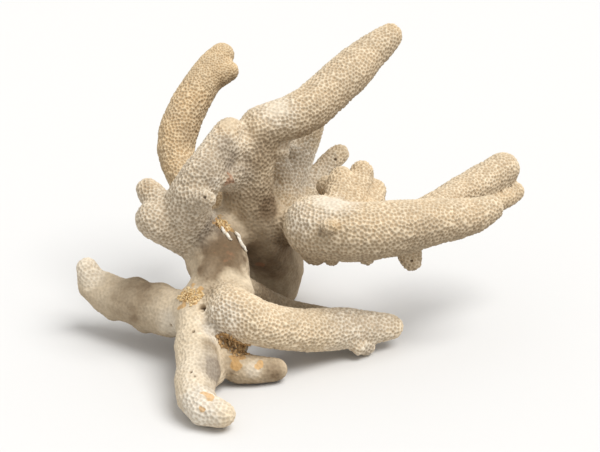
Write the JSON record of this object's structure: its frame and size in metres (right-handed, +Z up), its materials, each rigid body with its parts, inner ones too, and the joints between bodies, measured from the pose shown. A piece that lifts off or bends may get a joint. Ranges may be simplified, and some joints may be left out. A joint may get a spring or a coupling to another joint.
{
  "type": "branching coral",
  "caption": "Dry branching finger coral skeleton with rounded, pitted limbs, resting on the flat cut of its stem and the tips of its lower limbs.",
  "frame": {"origin": "under the middle of the coral's box, on the plane of the stem's cut that it rests on", "axes": "+Z up; +X towards the tips of the forked right arm; -Y towards the foot that reaches furthest in front"},
  "size_m": [0.193, 0.1746, 0.1246],
  "materials": {
    "bare_skeleton": "matte, chalky, closely pitted",
    "tinted_skeleton": "matte, pitted, ochre tinted",
    "weathered_skeleton": "matte, worn smooth, grey brown"
  },
  "bodies": {
    "root": {"stem": "weathered_skeleton", "great_finger": "bare_skeleton", "column": "bare_skeleton", "left_crown": "bare_skeleton", "tall_finger": "tinted_skeleton", "back_finger": "bare_skeleton", "pored_finger": "bare_skeleton", "right_arm": "bare_skeleton", "upper_tine": "bare_skeleton", "rear_tine": "tinted_skeleton", "nub_cluster": "bare_skeleton", "left_arm": "bare_skeleton", "front_foot": "bare_skeleton", "low_finger": "bare_skeleton", "small_foot": "tinted_skeleton", "shade_finger": "weathered_skeleton"}
  },
  "joints": []
}
